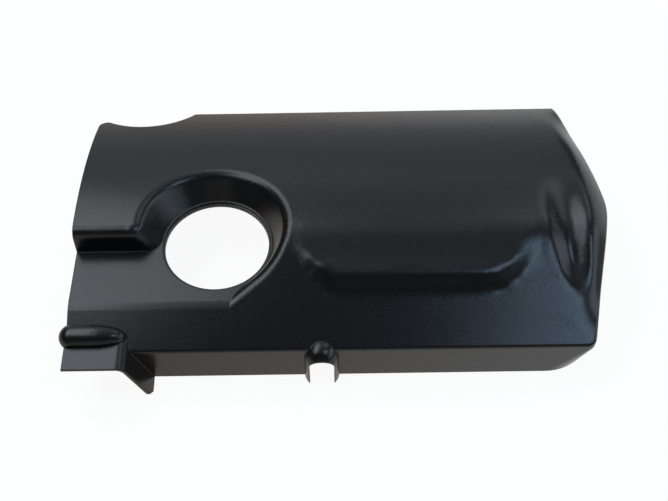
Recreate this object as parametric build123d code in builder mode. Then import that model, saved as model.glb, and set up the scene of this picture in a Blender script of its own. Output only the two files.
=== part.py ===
from build123d import *
from math import atan, cos, hypot, radians, sin, sqrt, tan
import os

os.makedirs("parts", exist_ok=True)

# Frame: X along the cover's length, Y from the front skirt to the rear, Z up.
# The origin is under the middle of the cover's box, on the skirt's lower edge.

# Whole cover
overall_length = 451.0
overall_depth = 276.5
wall = 2.5

# Crowned top, as a profile across the cover
skirt_height = 40.0
front_slope_angle = 24.0
ridge_height = 80.0
ridge_radius = 70.0
rear_crown_radius = 300.0
edge_fillet = 3.0

# Outline seen from above
flange_reach = 19.0
rear_skew = 3.0
left_rear_x = -216.0
left_front_x = -220.5
right_front_x = 204.5
right_rear_x = 202.5
right_apex_y = -1.0
right_apex_radius = 60.0
front_corner_radius = 8.0
front_corner_foot_radius = 42.0
scallop_radius = 51.0
scallop_centre_x = -177.5
scallop_bite = 22.5
scallop_corner_radius = 8.0

# Roll-over of the top along the right end
roll_width = 18.0
roll_drop = 9.0
roll_fade_height = 24.0
roll_blend = 10.0

# Raised panel on the front slope
panel_left_x = -29.0
panel_left_lean = 15.0
panel_lean_start_y = -28.0
panel_lean_length = 45.0
panel_right_x = 153.0
panel_front_y = -64.0
panel_rear_y = -37.0
panel_front_height = 70.5
panel_pitch_angle = 10.5
panel_left_radius = 20.0
panel_right_radius = 40.0
panel_edge_width = 15.0
panel_blend = 3.0

# Scoop beside the right end
scoop_rear_y = 40.0
scoop_tip_y = -86.0
scoop_x = 187.0
scoop_tip_x = 198.0
scoop_half_width = 20.0
scoop_tip_half_width = 2.0
scoop_depth = 7.0

# Recess round the filler hole, with a level shelf out to the left end
floor_height = 55.5
floor_radius = 46.5
rim_radius = 60.5
rim_shift_x = -2.0
rim_shift_y = 4.0
rim_fillet = 9.0
shelf_front_setback = 3.4
shelf_front_crossing = 4.0
shelf_wall_y = -31.0
shelf_wall_lean = 2.0
shelf_side_angle = 48.0
shelf_corner_radius = 12.0
pocket_depth = 20.0
pocket_front_y = -107.0

# Filler hole and its collar
hole_radius = 43.5
hole_x = -102.4
hole_y = -25.5
collar_depth = 5.0
collar_step = 1.5

# Half-pipe along the left part of the front slope
pipe_radius = 10.5
pipe_height = 47.5
pipe_nose_x = -172.0
pipe_nose_length = 27.0

# Flange round the pipe passage in the front skirt
flange_bend_x = -172.0
flange_foot_x = -154.5
flange_bend_radius = 9.0
flange_thickness = 2.5
flange_end_chamfer = 5.0
flange_root = 14.0
passage_depth = 10.0

# Hood over the slot in the front skirt
hood_x = -15.7
hood_radius = 14.5
hood_setback = 2.0
hood_height = 43.5
slot_half_width = 10.0
slot_height = 37.0

# Ball stud turrets and their rubber grommets
turret_points = {
    "rear_left": (-158.0, 71.0),
    "rear_right": (168.0, 89.0),
    "front_left": (-186.0, -65.0),
    "front_right": (150.0, -67.0),
}
turret_radius = 13.0
turret_wall = 2.0
turret_foot = 16.0
turret_plate = 2.5
turret_window_height = 11.0
grommet_waist_radius = 6.5
grommet_flange_radius = 9.5
grommet_lip = 3.0
grommet_head = 6.5
stud_ball_radius = 5.0
stud_socket_depth = 9.0
stud_lead_in = 1.2

# Stiffening ribs under the crown
rib_thickness = 1.8
rib_depth = 9.0
rib_rows_y = (35.0, 97.0)
rib_columns_x = (-38.0, 45.0, 120.0)

front_y = -overall_depth / 2 + flange_reach
rear_y = overall_depth / 2
right_lean = atan((overall_length / 2 - right_front_x) / (right_apex_y - front_y))
right_x = overall_length / 2 + right_apex_radius * (1 / cos(right_lean) - 1)
skirt_joint = skirt_height - edge_fillet - wall - 1
beyond = 30.0
grid_step = 5.0
grid_margin = 10.0

slope = radians(front_slope_angle)
arc_start_height = ridge_height - ridge_radius * (1 - cos(slope))
arc_start_y = front_y + (arc_start_height - skirt_height) / tan(slope)
ridge_y = arc_start_y + ridge_radius * sin(slope)


def smooth_step(value):
    """0 below 0, 1 above 1, and an even S-curve between them."""
    value = min(max(value, 0.0), 1.0)
    return value * value * (3 - 2 * value)


def soft_ramp(value, blend):
    """The value where it is positive and 0 where not, with a soft corner."""
    return (value + sqrt(value * value + blend * blend)) / 2


def crown_height(y):
    """Height of the plain profile: front slope, ridge arc, then rear arc."""
    if y < arc_start_y:
        return skirt_height + (y - front_y) * tan(slope)
    radius = ridge_radius if y < ridge_y else rear_crown_radius
    return ridge_height - radius + sqrt(radius**2 - (y - ridge_y) ** 2)


def panel_lift(x, y):
    """How far the raised panel stands above the plain profile."""
    panel_height = panel_front_height + (y - panel_front_y) * tan(radians(panel_pitch_angle))
    lift = soft_ramp(panel_height - crown_height(y), panel_blend)
    lift *= 1 - smooth_step((y - panel_rear_y) / (ridge_y - panel_rear_y))
    left = panel_left_x + panel_left_lean * smooth_step((panel_lean_start_y - y) / panel_lean_length)
    middle = (left + panel_right_x) / 2
    side = left - x if x < middle else x - panel_right_x
    radius = panel_left_radius if x < middle else panel_right_radius
    along = max(side + radius, 0.0)
    across = max(panel_front_y - y + radius, 0.0)
    outside = hypot(along, across) - radius
    return lift * (1 - smooth_step(outside / panel_edge_width))


def scoop_drop(x, y):
    """Depth of the scoop, which runs to a point at its front end."""
    share = (scoop_rear_y - y) / (scoop_rear_y - scoop_tip_y)
    if not 0 < share < 1:
        return 0.0
    centre = scoop_x + (scoop_tip_x - scoop_x) * share**3
    half_width = scoop_tip_half_width + (scoop_half_width - scoop_tip_half_width) * sqrt(1 - share**3)
    across = max(1 - ((x - centre) / half_width) ** 2, 0.0)
    return scoop_depth * across**2 * smooth_step(share / 0.6) * smooth_step((1 - share) / 0.3)


def edge_distance(x, y, start, end):
    """Distance of a point to the left of the line from start to end."""
    run = (end[0] - start[0], end[1] - start[1])
    return (run[1] * (start[0] - x) - run[0] * (start[1] - y)) / hypot(*run)


def roll_over(x, y):
    """Drop of the top towards the two straight runs of the right end."""
    apex = (right_x, right_apex_y)
    front_run = edge_distance(x, y, (right_front_x, front_y), apex)
    rear_run = edge_distance(x, y, apex, (right_rear_x, rear_y))
    nearest = (front_run + rear_run - hypot(front_run - rear_run, roll_blend)) / 2
    share = max(1 - nearest / roll_width, 0.0)
    fade = smooth_step((crown_height(y) - skirt_height) / roll_fade_height)
    return roll_drop * (share**2 if share < 1 else 2 * share - 1) * fade


def top_height(x, y):
    """Height of the finished top surface, before the recess is cut."""
    return crown_height(y) + panel_lift(x, y) - scoop_drop(x, y) - roll_over(x, y)


def lowered_height(x, y, depth):
    """Top height less a wall measured square to the surface."""
    step = 1.0
    lean_x = (top_height(x + step, y) - top_height(x - step, y)) / (2 * step)
    lean_y = (top_height(x, y + step) - top_height(x, y - step)) / (2 * step)
    return top_height(x, y) - depth * sqrt(1 + lean_x**2 + lean_y**2)


def under_crown(depth):
    """Everything below the top surface lowered by the given depth."""
    columns = round((overall_length + 2 * grid_margin) / grid_step)
    rows = round((rear_y - front_y + 2 * grid_margin) / grid_step)
    step_x = (overall_length + 2 * grid_margin) / columns
    step_y = (rear_y - front_y + 2 * grid_margin) / rows
    points = []
    for column in range(columns + 1):
        x = -overall_length / 2 - grid_margin + column * step_x
        line = []
        for row in range(rows + 1):
            y = front_y - grid_margin + row * step_y
            line.append((x, y, lowered_height(x, y, depth)))
        points.append(line)
    top_face = Face.make_surface_from_array_of_points(points, tol=0.2, min_deg=3, max_deg=3)
    with BuildPart() as below:
        extrude(to_extrude=top_face, amount=ridge_height + beyond, dir=(0, 0, -1))
    return below.part


def outline_sketch(height, corner_radius, inset):
    """The outline seen from above at one height, drawn in by the inset, and long at its left end."""
    with BuildSketch(Plane.XY.offset(height)) as plan:
        with BuildLine():
            Polyline(
                (left_front_x - beyond, front_y),
                (right_front_x, front_y),
                (right_x, right_apex_y),
                (right_rear_x, rear_y),
                (left_front_x - beyond, rear_y - rear_skew),
                close=True,
            )
        make_face()
        right_end = plan.vertices().sort_by(Axis.X)[-1]
        fillet(right_end, radius=right_apex_radius)
        front_right = plan.vertices().group_by(Axis.Y)[0].sort_by(Axis.X)[-1]
        fillet(front_right, radius=corner_radius)
        if inset > 0:
            offset(amount=-inset, kind=Kind.INTERSECTION)
        with Locations((scallop_centre_x, rear_y + scallop_bite)):
            Circle(scallop_radius + inset, mode=Mode.SUBTRACT)
    return plan.sketch


def left_trim():
    """Everything to the right of the open left end, with the horn's corner rounded."""
    with BuildPart() as kept:
        with BuildSketch(Plane.XY.offset(-beyond)) as plan:
            with BuildLine():
                Polyline(
                    (left_front_x, front_y - beyond),
                    (left_front_x, front_y),
                    (left_rear_x, rear_y + beyond),
                    (overall_length, rear_y + beyond),
                    (overall_length, front_y - beyond),
                    close=True,
                )
            make_face()
            with Locations((scallop_centre_x, rear_y + scallop_bite)):
                Circle(scallop_radius, mode=Mode.SUBTRACT)
            horn = plan.vertices().filter_by(lambda vertex: 0 < vertex.Y < rear_y).sort_by(Axis.X)[0]
            fillet(horn, radius=scallop_corner_radius)
        extrude(amount=ridge_height + 2 * beyond)
    return kept.part


def skirt(inset):
    """Lower skirt, whose front right corner grows rounder downwards."""
    with BuildPart() as lower:
        loft(
            [
                outline_sketch(0, front_corner_foot_radius, inset),
                outline_sketch(skirt_joint, front_corner_radius, inset),
            ],
            ruled=True,
        )
    return lower.part


def upper_prism(inset):
    """The outline as a tall prism over the lower skirt."""
    with BuildPart() as prism:
        add(outline_sketch(skirt_joint, front_corner_radius, inset))
        extrude(amount=ridge_height)
    return prism.part


def pocket(inset):
    """The hollow over the filler hole and the shelf, grown by the inset."""
    low = floor_height - pocket_depth
    top = ridge_height + pocket_depth
    rim_rise = ridge_height - floor_height
    far_x = left_front_x - beyond
    side = radians(shelf_side_angle)
    with BuildPart() as hollow:
        for height in (low, top):
            share = (height + inset - floor_height) / rim_rise
            radius = floor_radius + inset + (rim_radius - floor_radius) * share
            centre_x = hole_x + rim_shift_x * share
            centre_y = hole_y + rim_shift_y * share
            wall_y = shelf_wall_y + inset + shelf_wall_lean * share
            touch = (centre_x + radius * cos(side), centre_y - radius * sin(side))
            side_x = touch[0] - (touch[1] - pocket_front_y) * tan(side)
            with BuildSketch(Plane.XY.offset(height)) as plan:
                with Locations((centre_x, centre_y)):
                    Circle(radius)
                with BuildLine():
                    Polyline(
                        (centre_x, wall_y),
                        (centre_x, centre_y),
                        touch,
                        (side_x, pocket_front_y),
                        (far_x, pocket_front_y),
                        (far_x, wall_y),
                        close=True,
                    )
                make_face()
                corner = plan.vertices().filter_by(
                    lambda vertex: vertex.X > far_x + 1 and abs(vertex.Y - wall_y) < 0.01
                )
                fillet(corner, radius=shelf_corner_radius - inset)
        loft(ruled=True)
    return hollow.part


def shelf_limit(inset):
    """Space under the shelf's floor, whose front edge rounds into the slope."""
    floor = floor_height - inset
    corner_y = front_y + (floor - skirt_height + inset / cos(slope)) / tan(slope)
    end_y = corner_y - shelf_front_setback * cos(slope)
    end_z = floor - shelf_front_setback * sin(slope)
    crossing = radians(shelf_front_crossing)
    half_turn = slope / 2 - crossing
    radius = shelf_front_setback * cos(slope / 2) / sin(half_turn)
    fall = (end_y - front_y + beyond) * tan(slope - crossing)
    with BuildPart() as limit:
        with BuildSketch(Plane.YZ.offset(left_front_x - beyond)):
            with BuildLine():
                Polyline(
                    (corner_y + shelf_front_setback, floor),
                    (rear_y + beyond, floor),
                    (rear_y + beyond, -beyond),
                    (front_y - beyond, -beyond),
                    (front_y - beyond, end_z - fall),
                    (end_y, end_z),
                )
                RadiusArc((end_y, end_z), (corner_y + shelf_front_setback, floor), radius)
            make_face()
        extrude(amount=hole_x + rim_radius + inset - left_front_x + beyond)
    return limit.part


def pipe(inset):
    """Half-pipe body along X, with a round left end and a long nose."""
    radius = pipe_radius - inset
    axis_y = front_y + pipe_radius
    left_centre = -overall_length / 2 + pipe_radius
    nose_start = pipe_nose_x - pipe_nose_length
    nose_end = pipe_nose_x - inset * 1.5
    section = Plane(origin=(0, axis_y, pipe_height), x_dir=(1, 0, 0), z_dir=(0, -1, 0))
    with BuildPart() as body:
        with BuildSketch(section):
            with BuildLine():
                Polyline((nose_end, 0), (left_centre, 0), (left_centre, radius), (nose_start, radius))
                if inset > 0:
                    Polyline((nose_start, radius), (nose_end, radius / 3), (nose_end, 0))
                else:
                    EllipticalCenterArc((nose_start, 0), pipe_nose_length, radius, 0, arc_size=90)
            make_face()
        revolve(axis=Axis((0, axis_y, pipe_height), (1, 0, 0)))
        with Locations((left_centre, axis_y, pipe_height)):
            Sphere(radius)
    return body.part


def hood(inset):
    """Upright round-topped post that stands out of the front skirt."""
    radius = hood_radius - inset
    top = hood_height - hood_radius
    with BuildPart() as body:
        with Locations((hood_x, front_y + hood_setback, 0)):
            Cylinder(radius, top, align=(Align.CENTER, Align.CENTER, Align.MIN))
        with Locations((hood_x, front_y + hood_setback, top)):
            Sphere(radius)
    return body.part


def cover_form(inset):
    """The cover's outer form, or its cavity when drawn in by the wall."""
    prism = upper_prism(inset)
    lower = skirt(inset)
    crown = under_crown(inset)
    hollow = pocket(inset)
    half_pipe = pipe(inset)
    rim_x = hole_x + rim_radius + inset
    with BuildPart() as block:
        add(prism)
        add(crown, mode=Mode.INTERSECT)
        if inset == 0:
            top_edges = block.edges().filter_by(GeomType.BSPLINE)
            closed_sides = top_edges.filter_by(lambda edge: edge.bounding_box().max.X > left_rear_x)
            fillet(closed_sides, radius=edge_fillet)
        add(lower)
    with BuildPart() as shelf:
        add(block.part)
        add(shelf_limit(inset), mode=Mode.INTERSECT)
    with BuildPart() as form:
        add(block.part)
        add(hollow, mode=Mode.SUBTRACT)
        rim = form.edges().filter_by(
            lambda edge: edge.bounding_box().max.X < rim_x
            and edge.bounding_box().max.Z > floor_height + 1
            and edge.bounding_box().size.Z < ridge_height - floor_height + 3
            and edge.center().Y < hole_y + rim_radius + 10
            and edge.geom_type == GeomType.BSPLINE
        )
        fillet(rim, radius=rim_fillet - inset)
        add(shelf.part)
        if inset == 0:
            add(left_trim(), mode=Mode.INTERSECT)
        add(half_pipe)
    return form.part


def passage_bar(gap, front, back):
    """Bar along Y whose section is the passage, the gap inside its flange."""
    lean = (flange_foot_x - flange_bend_x) / pipe_height
    bend_x = flange_bend_x - gap * (sqrt(1 + lean**2) - lean)
    top = pipe_height - gap
    foot_x = bend_x + (top + beyond) * lean
    end_x = left_front_x - (beyond if gap > 0 else 0)
    with BuildPart() as bar:
        with BuildSketch(Plane.XZ.offset(-back)) as section:
            with BuildLine():
                Polyline((end_x, -beyond), (end_x, top), (bend_x, top), (foot_x, -beyond), close=True)
            make_face()
            bend = section.vertices().group_by(Axis.Y)[-1].sort_by(Axis.X)[-1]
            fillet(bend, radius=flange_bend_radius - gap)
        extrude(amount=back - front)
    return bar.part


def turret(point):
    """Horseshoe turret that grips one grommet by its waist."""
    window_x = turret_radius + 1
    with BuildPart() as post:
        with BuildSketch(Plane.XY.offset(turret_foot)):
            with Locations(point):
                Circle(turret_radius)
        extrude(amount=ridge_height)
        with BuildSketch(Plane.XY.offset(turret_foot + turret_plate)):
            with Locations(point):
                Circle(turret_radius - turret_wall)
        extrude(amount=ridge_height, mode=Mode.SUBTRACT)
        with BuildSketch(Plane.XY.offset(turret_foot)):
            with Locations(point):
                Circle(grommet_waist_radius)
            with Locations((point[0] + window_x / 2, point[1])):
                Rectangle(window_x, 2 * grommet_waist_radius)
        extrude(amount=turret_plate, mode=Mode.SUBTRACT)
        with BuildSketch(Plane.XY.offset(turret_foot + turret_plate)):
            with Locations((point[0] + window_x / 2, point[1])):
                Rectangle(window_x, 2 * grommet_flange_radius + 1)
        extrude(amount=turret_window_height, mode=Mode.SUBTRACT)
    return post.part


outer_form = cover_form(0.0)
cavity = cover_form(wall)
rib_drop = wall + rib_depth
passage_roof = passage_bar(0.0, -overall_depth / 2, front_y + flange_root)
passage = passage_bar(flange_thickness, -overall_depth / 2 - 1, front_y + passage_depth)
outer_hood = hood(0.0)
inner_hood = hood(wall)
turrets = [turret(point) for point in turret_points.values()]

# Flange round the pipe passage
with BuildPart() as flange:
    add(passage_roof)
    add(passage, mode=Mode.SUBTRACT)
    split(bisect_by=Plane.XY, keep=Keep.TOP)
    foot_edge = flange.edges().filter_by(Axis.X).group_by(Axis.Z)[0].sort_by(Axis.Y)[0]
    chamfer(foot_edge, length=flange_end_chamfer)

# Ribs and turrets, which the hollow leaves standing
with BuildPart() as stiffeners:
    with BuildSketch():
        for row_y in rib_rows_y:
            with Locations((0, row_y)):
                Rectangle(overall_length, rib_thickness)
        for column_x in rib_columns_x:
            with Locations((column_x, 0)):
                Rectangle(rib_thickness, 2 * rear_y)
    extrude(amount=ridge_height + beyond)
    with BuildSketch(Plane.YZ.offset(-overall_length)):
        with BuildLine():
            arc_start = (arc_start_y, arc_start_height - rib_drop)
            ridge = (ridge_y, ridge_height - rib_drop)
            rear = (rear_y, crown_height(rear_y) - rib_drop)
            Polyline(rear, (rear_y, -beyond), (front_y, -beyond), (front_y, skirt_height - rib_drop), arc_start)
            RadiusArc(arc_start, ridge, ridge_radius)
            RadiusArc(ridge, rear, rear_crown_radius)
        make_face()
    extrude(amount=2 * overall_length, mode=Mode.SUBTRACT)
    for post in turrets:
        add(post)

with BuildPart() as inner_space:
    add(cavity)
    add(stiffeners.part, mode=Mode.SUBTRACT)

# The moulded cover
with BuildPart() as cover_shell:
    add(outer_form)
    add(outer_hood)
    add(flange.part)
    add(inner_space.part, mode=Mode.SUBTRACT)
    add(inner_hood, mode=Mode.SUBTRACT)
    add(passage, mode=Mode.SUBTRACT)
    with BuildSketch(Plane.XZ.offset(-front_y - slot_half_width)):
        with Locations((hood_x, slot_height - slot_half_width)):
            Circle(slot_half_width)
        with Locations((hood_x, (slot_height - slot_half_width - beyond) / 2)):
            Rectangle(2 * slot_half_width, slot_height - slot_half_width + beyond)
    extrude(amount=overall_depth / 4, mode=Mode.SUBTRACT)
    with BuildSketch(Plane.XY.offset(floor_height - collar_depth)):
        with Locations((hole_x, hole_y)):
            Circle(hole_radius + wall)
    extrude(amount=collar_depth - wall / 2)
    with BuildSketch(Plane.XY.offset(floor_height - collar_depth)):
        with Locations((hole_x, hole_y)):
            Circle(hole_radius)
    extrude(amount=ridge_height, mode=Mode.SUBTRACT)
    with BuildSketch(Plane.XY.offset(floor_height - collar_step)):
        with Locations((hole_x, hole_y)):
            Circle(hole_radius + collar_step)
    extrude(amount=ridge_height, mode=Mode.SUBTRACT)
cover_shell.part.label = "cover_shell"
export_step(cover_shell.part, "parts/cover_shell.step", write_pcurves=False)

# One rubber grommet for each ball stud
for name, point in turret_points.items():
    with BuildPart() as grommet:
        with BuildSketch(Plane.XZ) as section:
            with BuildLine():
                low = turret_foot - grommet_lip
                high = turret_foot + turret_plate + grommet_head
                Polyline(
                    (stud_ball_radius + stud_lead_in, low),
                    (grommet_flange_radius, low),
                    (grommet_flange_radius, turret_foot),
                    (grommet_waist_radius, turret_foot),
                    (grommet_waist_radius, turret_foot + turret_plate),
                    (grommet_flange_radius, turret_foot + turret_plate),
                    (grommet_flange_radius, high),
                    (0, high),
                    (0, low + stud_socket_depth),
                    (stud_ball_radius, low + stud_socket_depth),
                    (stud_ball_radius, low + stud_lead_in),
                    close=True,
                )
            make_face()
        revolve(axis=Axis.Z)
    grommet_part = grommet.part.moved(Location((point[0], point[1], 0)))
    grommet_part.label = f"grommet_{name}"
    export_step(grommet_part, f"parts/grommet_{name}.step")
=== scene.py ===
"""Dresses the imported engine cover: its finishes, the floor, the lamps and the camera."""

import math

import bpy
from mathutils import Euler, Matrix, Vector


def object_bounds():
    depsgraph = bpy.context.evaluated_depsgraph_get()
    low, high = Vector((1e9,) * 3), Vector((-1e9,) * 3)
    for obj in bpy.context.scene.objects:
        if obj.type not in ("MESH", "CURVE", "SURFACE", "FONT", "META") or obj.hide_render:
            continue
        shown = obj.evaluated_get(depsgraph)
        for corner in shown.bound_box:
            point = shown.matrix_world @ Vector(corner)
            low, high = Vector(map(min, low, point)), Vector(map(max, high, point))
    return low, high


bl_info = {
    "name": "Engine Cover Studio",
    "version": (1, 0, 0),
    "blender": (4, 5, 0),
    "location": "View3D > Sidebar > Engine Cover",
    "description": "Finishes and studio for a moulded engine cover",
    "category": "Object",
}

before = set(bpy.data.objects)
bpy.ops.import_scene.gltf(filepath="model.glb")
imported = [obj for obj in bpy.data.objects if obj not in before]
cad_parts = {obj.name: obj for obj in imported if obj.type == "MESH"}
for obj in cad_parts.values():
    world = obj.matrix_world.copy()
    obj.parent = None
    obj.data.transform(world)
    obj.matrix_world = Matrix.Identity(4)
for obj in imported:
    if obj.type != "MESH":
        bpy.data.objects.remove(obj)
cad_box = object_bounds()

GROMMETS = ("grommet_rear_left", "grommet_rear_right", "grommet_front_left", "grommet_front_right")

# Finishes: how far the tone and the roughness stray from the stated ones
NOISE_MIDDLE = 0.5
PLASTIC_TONES = (0.8, 1.2)
GRAIN_GLOSS = 0.10
CLOUD_GLOSS = 0.06
CLOUD_SCALE = 22.0
RUBBER_TONES = (0.7, 1.4)
BLOOM_GLOSS = 0.12
BLOOM_SCALE = 260.0
BLOOM_HEIGHT = 0.00005
BLOOM_STRENGTH = 0.6

# Floor: its width, its drop below the cover, the part of it that glows by itself,
# and the places along X between which its painted reflection turns from the left colour to the
# right
FLOOR_WIDTH = 40.0
FLOOR_DROP = 0.0002
FLOOR_GLOW_SHARE = 0.9
FLOOR_TURN_LEFT = -0.15
FLOOR_TURN_RIGHT = 0.22

SENSOR_WIDTH = 36.0
NEAR_LIMIT = 0.05

# Soft lamps: name, place, the point each one faces, its two sides and its radiance
LAMPS = (
    ("lamp_left_near", (-0.50, -0.10, 0.70), (-0.15, -0.05, 0.0), (0.4, 0.4), (2.37, 2.46, 2.61)),
    ("lamp_left_high", (-1.00, 0.40, 1.80), (-0.05, 0.0, 0.0), (1.0, 1.0), (1.06, 1.24, 1.48)),
    ("lamp_left_rear", (-0.85, 1.00, 1.75), (0.0, 0.0, 0.0), (1.1, 1.1), (2.10, 2.22, 2.40)),
    ("lamp_rear_high", (0.20, 1.10, 1.60), (0.0, 0.0, 0.0), (1.6, 1.5), (0.38, 0.40, 0.43)),
    ("lamp_rear", (-0.30, 2.10, 0.80), (0.0, 0.0, 0.0), (2.4, 1.6), (0.42, 0.43, 0.46)),
    ("lamp_right_rear", (0.90, 1.00, 1.50), (0.0, 0.0, 0.0), (0.8, 0.8), (0.86, 0.94, 1.02)),
    ("lamp_right_far", (1.70, 1.05, 0.45), (0.20, 0.0, 0.0), (1.4, 0.8), (0.95, 0.99, 1.14)),
    ("lamp_right_low", (1.40, -0.10, 0.70), (0.10, 0.0, 0.0), (0.9, 0.7), (1.30, 1.46, 1.72)),
    ("lamp_right_near", (0.54, -0.33, 1.05), (0.10, -0.05, 0.0), (0.4, 0.4), (2.05, 2.95, 4.00)),
    ("lamp_right_front", (1.10, -0.70, 0.55), (0.15, -0.05, 0.0), (0.6, 0.4), (0.75, 0.99, 1.17)),
    ("lamp_front_low", (0.0, -1.80, 0.40), (0.0, 0.0, 0.0), (2.0, 0.6), (0.34, 0.32, 0.30)),
    ("lamp_above", (0.0, 0.10, 2.00), (0.0, 0.0, 0.0), (1.0, 1.0), (0.20, 0.24, 0.27)),
)


class Wire:
    """An output socket that takes part in shader arithmetic."""

    def __init__(self, finish, source):
        self.finish = finish
        self.source = source

    def _math(self, operation, *values):
        return self.finish.node("ShaderNodeMath", {"operation": operation}, values).out()

    def __add__(self, other):
        return self._math("ADD", self, other)

    __radd__ = __add__

    def __mul__(self, other):
        return self._math("MULTIPLY", self, other)

    __rmul__ = __mul__

    def __sub__(self, other):
        return self._math("SUBTRACT", self, other)

    def __rsub__(self, other):
        return self._math("SUBTRACT", other, self)


class Finish:
    """A material or world under construction, one node at a time."""

    def __init__(self, owner):
        owner.use_nodes = True
        self.tree = owner.node_tree
        self.tree.nodes.clear()
        self.made = None

    def node(self, kind, settings=None, sockets=None):
        """Adds a node, applies its settings first, then fills its sockets."""
        made = self.tree.nodes.new(kind)
        for name, value in (settings or {}).items():
            setattr(made, name, value)
        pairs = sockets.items() if isinstance(sockets, dict) else enumerate(sockets or ())
        for key, value in pairs:
            if isinstance(value, Wire):
                self.tree.links.new(value.source, made.inputs[key])
            else:
                made.inputs[key].default_value = value
        self.made = made
        return self

    def out(self, key=0):
        """The chosen output of the node made last."""
        return Wire(self, self.made.outputs[key])


class PlasticSettings(bpy.types.PropertyGroup):
    """The moulded plastic of the cover."""

    colour: bpy.props.FloatVectorProperty(
        name="Colour", description="Colour of the plastic", subtype="COLOR",
        size=3, min=0.0, max=1.0, default=(0.0060, 0.0063, 0.0070))
    roughness: bpy.props.FloatProperty(
        name="Roughness", description="Roughness between the grains",
        subtype="FACTOR", min=0.0, max=1.0, default=0.26)
    grain_size: bpy.props.FloatProperty(
        name="Grain size", description="Width of one grain of the mould's texture",
        unit="LENGTH", min=0.0001, default=0.0013)
    grain_height: bpy.props.FloatProperty(
        name="Grain height", description="Height of the grain",
        unit="LENGTH", min=0.0, default=0.00007)
    edge_radius: bpy.props.FloatProperty(
        name="Edge radius", description="Small radius that the mould leaves on every sharp edge",
        unit="LENGTH", min=0.0, default=0.0012)


class RubberSettings(bpy.types.PropertyGroup):
    """The rubber of the grommets."""

    colour: bpy.props.FloatVectorProperty(
        name="Colour", description="Colour of the rubber", subtype="COLOR",
        size=3, min=0.0, max=1.0, default=(0.018, 0.018, 0.019))
    roughness: bpy.props.FloatProperty(
        name="Roughness", description="Roughness of the rubber",
        subtype="FACTOR", min=0.0, max=1.0, default=0.62)


class StageSettings(bpy.types.PropertyGroup):
    """The camera, the floor and the light from all round."""

    lens: bpy.props.FloatProperty(
        name="Lens", description="Focal length of the camera, in millimetres on a 36 mm sensor",
        min=10.0, default=59.0)
    elevation: bpy.props.FloatProperty(
        name="Elevation", description="Height of the camera above the horizon",
        subtype="ANGLE", default=math.radians(55.0))
    roll: bpy.props.FloatProperty(
        name="Roll", description="Turn of the camera about its own axis",
        subtype="ANGLE", default=math.radians(-0.82))
    distance: bpy.props.FloatProperty(
        name="Distance", description="Distance from the camera to its target",
        unit="LENGTH", default=0.98)
    target: bpy.props.FloatVectorProperty(
        name="Target", description="Point that the camera looks at",
        subtype="XYZ", unit="LENGTH", size=3, default=(-0.0045, 0.00575, 0.0))
    floor_colour: bpy.props.FloatVectorProperty(
        name="Floor colour", description="Colour of the floor",
        subtype="COLOR", size=3, min=0.0, max=1.0, default=(0.88, 0.88, 0.88))
    floor_glow: bpy.props.FloatProperty(
        name="Floor glow", description="Brightness of the floor as the camera sees it",
        min=0.0, default=1.04)
    # Painted reflection: colours the floor glows with only for glossy rays, so the cover mirrors it
    # dim and brown on the left and white on the right
    painted_reflection_left: bpy.props.FloatVectorProperty(
        name="Floor left", description="Light of the floor's left part as the cover mirrors it",
        subtype="COLOR", size=3, min=0.0, max=1.0, default=(0.68, 0.60, 0.53))
    painted_reflection_right: bpy.props.FloatVectorProperty(
        name="Floor right", description="Light of the floor's right part as the cover mirrors it",
        subtype="COLOR", size=3, min=0.0, max=1.0, default=(1.0, 1.0, 1.0))
    air_light: bpy.props.FloatProperty(
        name="Air light", description="Light that comes from all round",
        min=0.0, default=0.06)


def two_tone(finish, mask, colour, tones):
    """The colour, darker where the mask is low and lighter where it is high."""
    dark, light = tones
    return finish.node("ShaderNodeMix", {"data_type": "RGBA"}, {
        "Factor": mask,
        "A": (*[dark * part for part in colour], 1.0),
        "B": (*[light * part for part in colour], 1.0),
    }).out("Result")


def cover_plastic(settings):
    """Black moulded plastic with the fine even grain of an etched mould."""
    material = bpy.data.materials.new("cover_plastic")
    finish = Finish(material)
    place = finish.node("ShaderNodeTexCoord").out("Object")
    grain = finish.node("ShaderNodeTexNoise", {"noise_dimensions": "3D"}, {
        "Vector": place, "Scale": 1.0 / settings.grain_size, "Detail": 2.0, "Roughness": 0.6,
    }).out("Fac")
    cloud = finish.node("ShaderNodeTexNoise", {"noise_dimensions": "3D"}, {
        "Vector": place, "Scale": CLOUD_SCALE, "Detail": 3.0,
    }).out("Fac")
    grain_gloss = GRAIN_GLOSS * (grain - NOISE_MIDDLE)
    cloud_gloss = CLOUD_GLOSS * (cloud - NOISE_MIDDLE)
    roughness = settings.roughness + grain_gloss + cloud_gloss
    colour = two_tone(finish, grain, settings.colour, PLASTIC_TONES)
    edge = finish.node("ShaderNodeBevel", {"samples": 6}, {
        "Radius": settings.edge_radius,
    }).out("Normal")
    bump = finish.node("ShaderNodeBump", {}, {
        "Strength": 1.0, "Distance": settings.grain_height, "Height": grain, "Normal": edge,
    }).out("Normal")
    surface = finish.node("ShaderNodeBsdfPrincipled", {}, {
        "Base Color": colour, "Roughness": roughness, "Normal": bump, "IOR": 1.5,
    }).out("BSDF")
    finish.node("ShaderNodeOutputMaterial", {}, {"Surface": surface})
    return material


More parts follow.
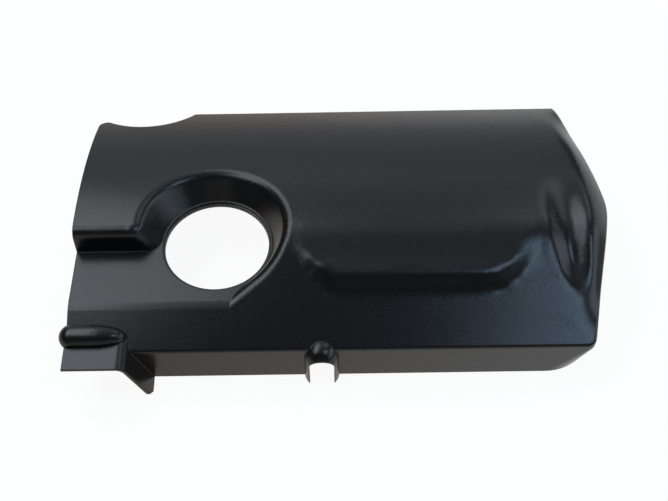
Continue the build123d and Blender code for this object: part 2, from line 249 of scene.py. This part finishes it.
def grommet_rubber(settings):
    """Dull black rubber, a little uneven."""
    material = bpy.data.materials.new("grommet_rubber")
    finish = Finish(material)
    place = finish.node("ShaderNodeTexCoord").out("Object")
    bloom = finish.node("ShaderNodeTexNoise", {"noise_dimensions": "3D"}, {
        "Vector": place, "Scale": BLOOM_SCALE, "Detail": 4.0,
    }).out("Fac")
    roughness = settings.roughness + BLOOM_GLOSS * (bloom - NOISE_MIDDLE)
    colour = two_tone(finish, bloom, settings.colour, RUBBER_TONES)
    bump = finish.node("ShaderNodeBump", {}, {
        "Strength": BLOOM_STRENGTH, "Distance": BLOOM_HEIGHT, "Height": bloom,
    }).out("Normal")
    surface = finish.node("ShaderNodeBsdfPrincipled", {}, {
        "Base Color": colour, "Roughness": roughness, "Normal": bump,
    }).out("BSDF")
    finish.node("ShaderNodeOutputMaterial", {}, {"Surface": surface})
    return material


def dress(name, material):
    """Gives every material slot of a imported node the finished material."""
    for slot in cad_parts[name].material_slots:
        slot.material = material


class COVER_OT_shell(bpy.types.Operator):
    """Finish the moulded cover"""

    bl_idname = "cover.shell"
    bl_label = "Cover shell"

    def execute(self, context):
        dress("cover_shell", cover_plastic(context.scene.cover_plastic))
        return {"FINISHED"}


class COVER_OT_grommets(bpy.types.Operator):
    """Finish the rubber grommets under the cover"""

    bl_idname = "cover.grommets"
    bl_label = "Grommets"

    def execute(self, context):
        rubber = grommet_rubber(context.scene.cover_rubber)
        for name in GROMMETS:
            dress(name, rubber)
        return {"FINISHED"}


def floor_material(settings):
    """Pale floor that looks white and keeps the object's shadow; to glossy rays it glows with a
    painted reflection, dimmer on the left.
    """
    material = bpy.data.materials.new("floor_paper")
    finish = Finish(material)
    path = finish.node("ShaderNodeLightPath")
    seen = path.out("Is Camera Ray")
    mirrored = path.out("Is Glossy Ray")
    through = path.out("Is Transmission Ray")
    paper = finish.node("ShaderNodeBsdfDiffuse", {}, {"Color": (*settings.floor_colour, 1.0)}).out()
    place = finish.node("ShaderNodeTexCoord").out("Object")
    across = finish.node("ShaderNodeSeparateXYZ", {}, {"Vector": place}).out("X")
    # Painted reflection: the glow that glossy rays see fades from the brownish left colour to the
    # white right colour along X
    rightward = finish.node("ShaderNodeMapRange", {}, {
        "Value": across, "From Min": FLOOR_TURN_LEFT, "From Max": FLOOR_TURN_RIGHT,
    }).out("Result")
    painted_reflection_tint = finish.node("ShaderNodeMix", {"data_type": "RGBA"}, {
        "Factor": rightward, "A": (*settings.painted_reflection_left, 1.0), "B": (*settings.painted_reflection_right, 1.0),
    }).out("Result")
    light = finish.node("ShaderNodeMix", {"data_type": "RGBA"}, {
        "Factor": mirrored, "A": (*[settings.floor_glow] * 3, 1.0), "B": painted_reflection_tint,
    }).out("Result")
    glow = finish.node("ShaderNodeEmission", {}, {"Color": light, "Strength": 1.0}).out()
    share = FLOOR_GLOW_SHARE * (seen + mirrored + through)
    surface = finish.node("ShaderNodeMixShader", {}, (share, paper, glow)).out()
    finish.node("ShaderNodeOutputMaterial", {}, {"Surface": surface})
    return material


def soft_lamp(name, place, aim, size, radiance):
    """A rectangular soft lamp at a place, turned towards a point."""
    turn = (Vector(aim) - Vector(place)).to_track_quat("-Z", "Y").to_euler()
    bpy.ops.object.light_add(type="AREA", location=place, rotation=turn)
    lamp = bpy.context.object
    lamp.name = name
    lamp.visible_camera = False
    lamp.data.shape = "RECTANGLE"
    lamp.data.size, lamp.data.size_y = size
    strongest = max(radiance)
    lamp.data.energy = math.pi * size[0] * size[1] * strongest
    lamp.data.color = [part / strongest for part in radiance]


class COVER_OT_stage(bpy.types.Operator):
    """Lay the floor and set the lamps and the camera"""

    bl_idname = "cover.stage"
    bl_label = "Studio"

    def execute(self, context):
        settings = context.scene.cover_stage
        bpy.ops.object.select_all(action="DESELECT")
        floor_height = cad_box[0].z - FLOOR_DROP
        bpy.ops.mesh.primitive_plane_add(size=FLOOR_WIDTH, location=(0.0, 0.0, floor_height))
        floor = context.object
        floor.name = "studio_floor"
        floor.data.materials.append(floor_material(settings))

        for lamp in LAMPS:
            soft_lamp(*lamp)

        world = context.scene.world or bpy.data.worlds.new("studio_world")
        context.scene.world = world
        air = Finish(world)
        sky = air.node("ShaderNodeBackground", {}, {
            "Color": (1.0, 1.0, 1.0, 1.0), "Strength": settings.air_light,
        }).out()
        air.node("ShaderNodeOutputWorld", {}, {"Surface": sky})

        lean = Euler((math.pi / 2 - settings.elevation, 0.0, 0.0)).to_matrix()
        turn = lean @ Matrix.Rotation(settings.roll, 3, "Z")
        place = Vector(settings.target) + turn @ Vector((0.0, 0.0, settings.distance))
        bpy.ops.object.camera_add(location=place, rotation=turn.to_euler())
        camera = context.object
        camera.name = "studio_camera"
        camera.data.sensor_width = SENSOR_WIDTH
        camera.data.lens = settings.lens
        camera.data.clip_start = NEAR_LIMIT
        context.scene.camera = camera
        context.scene.view_settings.view_transform = "Standard"
        return {"FINISHED"}


class COVER_PT_studio(bpy.types.Panel):
    """Lists the cover's pieces and its studio"""

    bl_label = "Engine Cover"
    bl_idname = "COVER_PT_studio"
    bl_space_type = "VIEW_3D"
    bl_region_type = "UI"
    bl_category = "Engine Cover"

    def draw(self, context):
        layout = self.layout
        for group, operator in GROUPS:
            box = layout.box()
            settings = getattr(context.scene, group)
            for key in settings.__annotations__:
                box.prop(settings, key)
            box.operator(operator)


GROUPS = (
    ("cover_plastic", "cover.shell"),
    ("cover_rubber", "cover.grommets"),
    ("cover_stage", "cover.stage"),
)
SETTINGS = (PlasticSettings, RubberSettings, StageSettings)
OPERATORS = (COVER_OT_shell, COVER_OT_grommets, COVER_OT_stage)


def register():
    for entry in (*SETTINGS, *OPERATORS, COVER_PT_studio):
        bpy.utils.register_class(entry)
    for (group, _), settings in zip(GROUPS, SETTINGS):
        setattr(bpy.types.Scene, group, bpy.props.PointerProperty(type=settings))


def unregister():
    for group, _ in GROUPS:
        delattr(bpy.types.Scene, group)
    for entry in reversed((*SETTINGS, *OPERATORS, COVER_PT_studio)):
        bpy.utils.unregister_class(entry)


def main():
    """Builds everything in order."""
    register()
    bpy.ops.cover.shell()
    bpy.ops.cover.grommets()
    bpy.ops.cover.stage()


if __name__ == "__main__":
    main()
